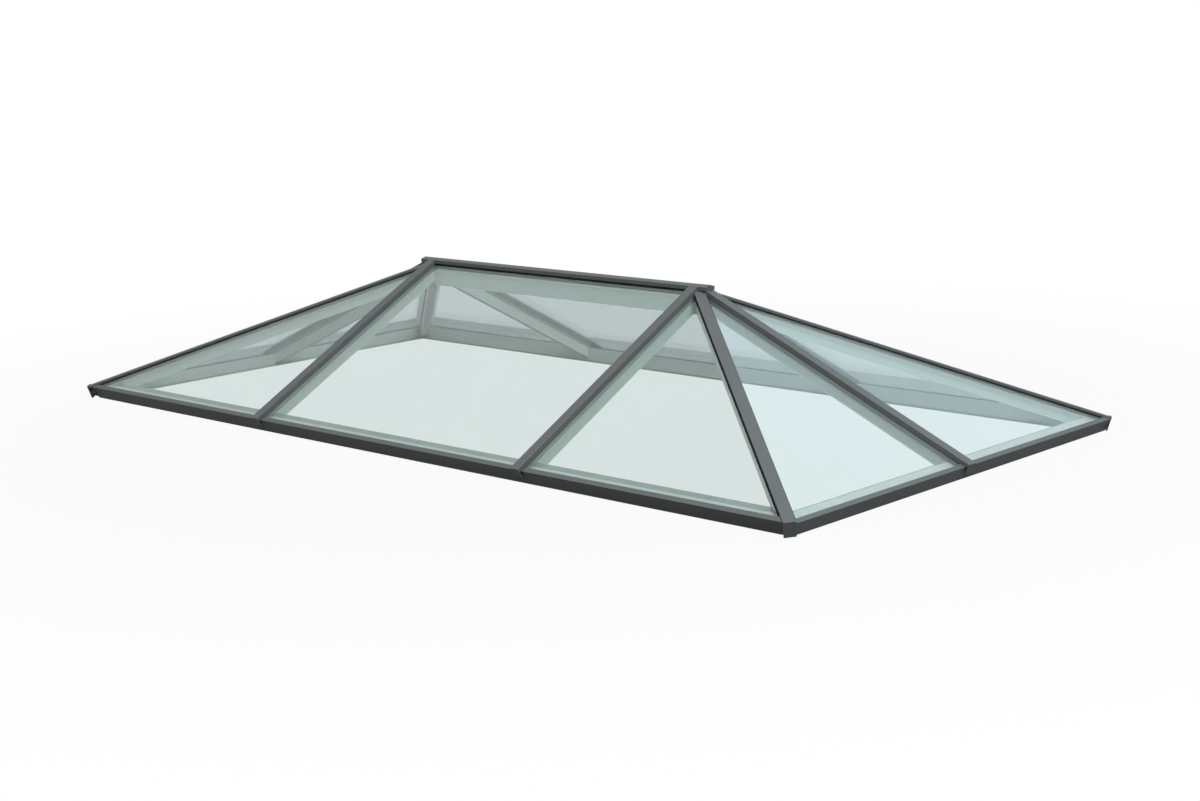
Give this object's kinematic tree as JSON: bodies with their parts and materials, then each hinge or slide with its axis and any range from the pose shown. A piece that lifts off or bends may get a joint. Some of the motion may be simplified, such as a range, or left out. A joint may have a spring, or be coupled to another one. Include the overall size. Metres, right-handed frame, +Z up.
{
  "type": "roof lantern",
  "caption": "Fixed hipped roof lantern: slim anthracite aluminium bars and caps over pale inner rafters, sealed glass units on every slope, ridge cap and mitred eaves frame for a kerb.",
  "frame": {"origin": "centre of the underside of the eaves frame", "axes": "X along the ridge, right end +X; Y across, front slope at -Y; Z up"},
  "size_m": [4, 2, 0.597],
  "materials": {
    "anthracite": "satin anthracite grey powder coat",
    "white_inside": "satin white powder coat",
    "glass": "pale green sealed unit",
    "gasket": "black glazing gasket"
  },
  "bodies": {
    "root": {"eaves_beam_front": "white_inside", "eaves_trim_front": "anthracite", "eaves_beam_back": "white_inside", "eaves_trim_back": "anthracite", "eaves_beam_left": "white_inside", "eaves_trim_left": "anthracite", "eaves_beam_right": "white_inside", "eaves_trim_right": "anthracite", "pane_front_left": "glass", "pane_front_middle": "glass", "pane_front_right": "glass", "pane_back_left": "glass", "pane_back_middle": "glass", "pane_back_right": "glass", "pane_left_front": "glass", "pane_left_back": "glass", "pane_right_front": "glass", "pane_right_back": "glass", "rafter_front_left": "white_inside", "rafter_cap_front_left": "anthracite", "rafter_front_right": "white_inside", "rafter_cap_front_right": "anthracite", "rafter_back_left": "white_inside", "rafter_cap_back_left": "anthracite", "rafter_back_right": "white_inside", "rafter_cap_back_right": "anthracite", "rafter_end_left": "white_inside", "rafter_cap_end_left": "anthracite", "rafter_end_right": "white_inside", "rafter_cap_end_right": "anthracite", "hip_front_left": "white_inside", "hip_cap_front_left": "anthracite", "corner_plate_front_left": "anthracite", "hip_front_right": "white_inside", "hip_cap_front_right": "anthracite", "corner_plate_front_right": "anthracite", "hip_back_left": "white_inside", "hip_cap_back_left": "anthracite", "corner_plate_back_left": "anthracite", "hip_back_right": "white_inside", "hip_cap_back_right": "anthracite", "corner_plate_back_right": "anthracite", "ridge_beam": "white_inside", "ridge_cap": "anthracite", "glazing_gaskets": "gasket"}
  },
  "joints": []
}
